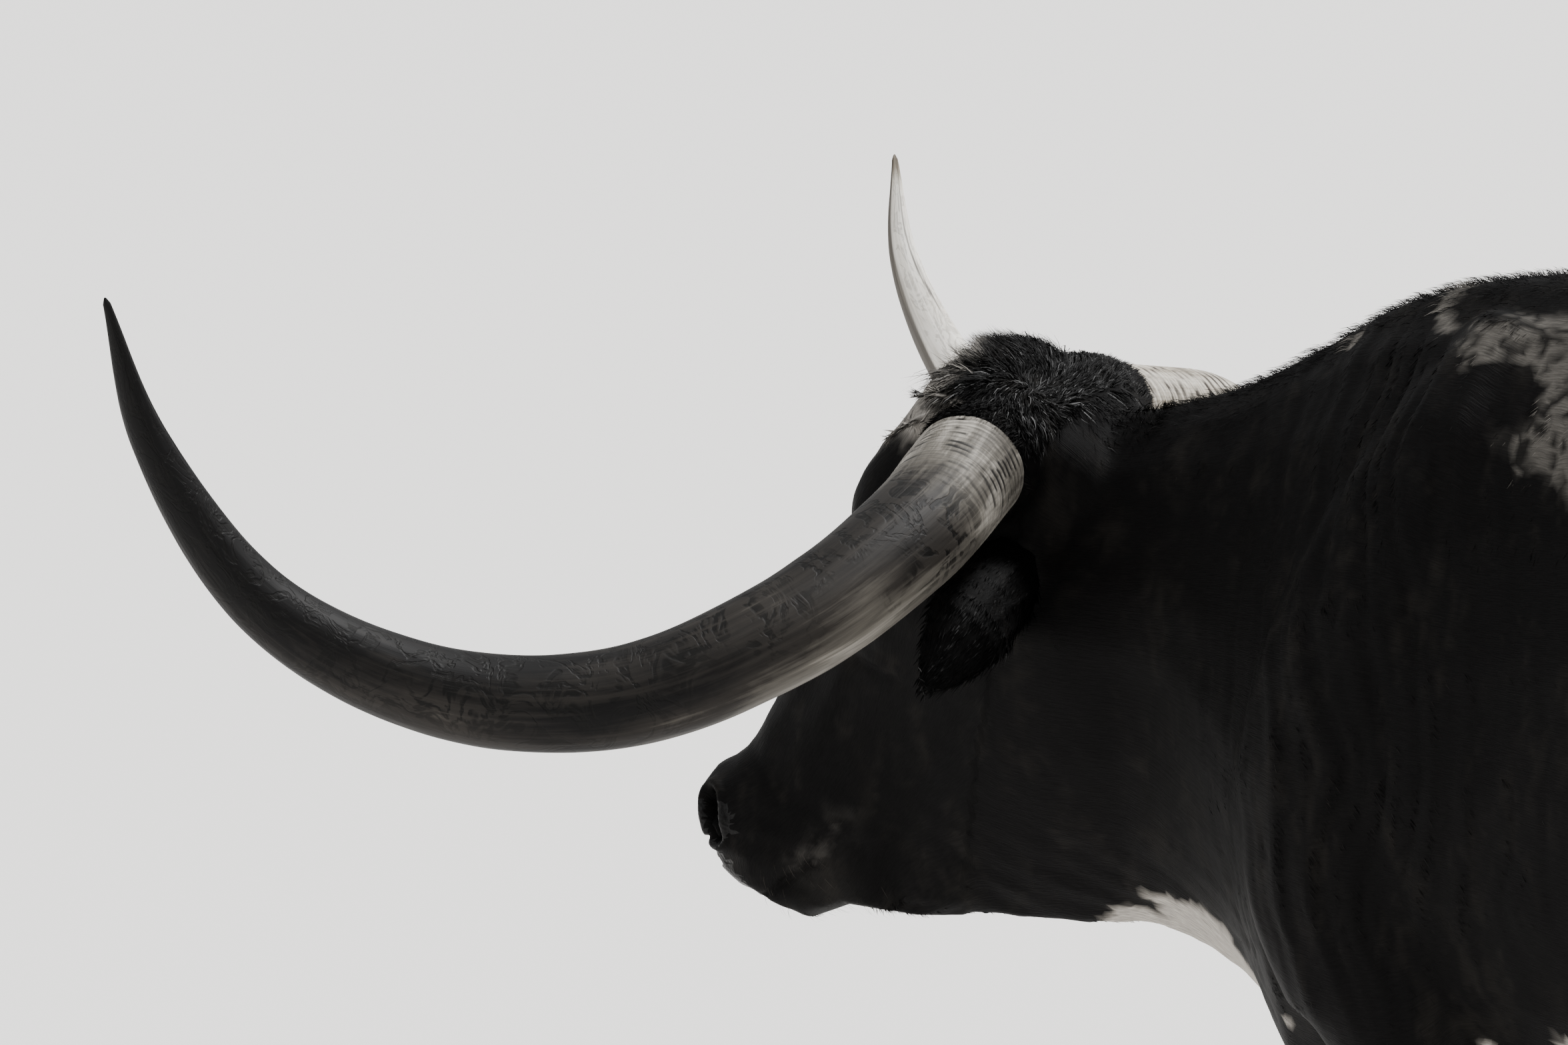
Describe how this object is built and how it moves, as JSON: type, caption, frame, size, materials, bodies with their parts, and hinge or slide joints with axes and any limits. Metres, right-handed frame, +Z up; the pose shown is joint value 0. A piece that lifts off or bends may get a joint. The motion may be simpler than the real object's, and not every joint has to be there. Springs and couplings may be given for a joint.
{
  "type": "texas longhorn",
  "caption": "Standing longhorn steer with a dark coat, head turned a little to its left and long upswept horns.",
  "frame": {"origin": "on the floor, under the middle of the whole animal's box", "axes": "+Z up; the body lies along X and faces -X; its left side is towards -Y"},
  "size_m": [2.7472, 1.5714, 1.4553],
  "materials": {
    "hide": "short dark hair",
    "horn": "worn horn, satin",
    "eye": "wet and dark",
    "hoof": "dull dark hoof",
    "long_hair": "long coarse hair"
  },
  "bodies": {
    "root": {"ear_left": "hide", "ear_right": "hide", "eye_left": "eye", "eye_right": "eye", "fore_left_claw_inner": "hoof", "fore_left_claw_outer": "hoof", "fore_left_lower": "hide", "fore_left_upper": "hide", "fore_right_claw_inner": "hoof", "fore_right_claw_outer": "hoof", "fore_right_lower": "hide", "fore_right_upper": "hide", "head": "hide", "hind_left_claw_inner": "hoof", "hind_left_claw_outer": "hoof", "hind_left_lower": "hide", "hind_left_upper": "hide", "hind_right_claw_inner": "hoof", "hind_right_claw_outer": "hoof", "hind_right_lower": "hide", "hind_right_upper": "hide", "horn_left": "horn", "horn_right": "horn", "neck": "hide", "tail": "hide", "tail_switch": "long_hair", "torso": "hide"}
  },
  "joints": []
}
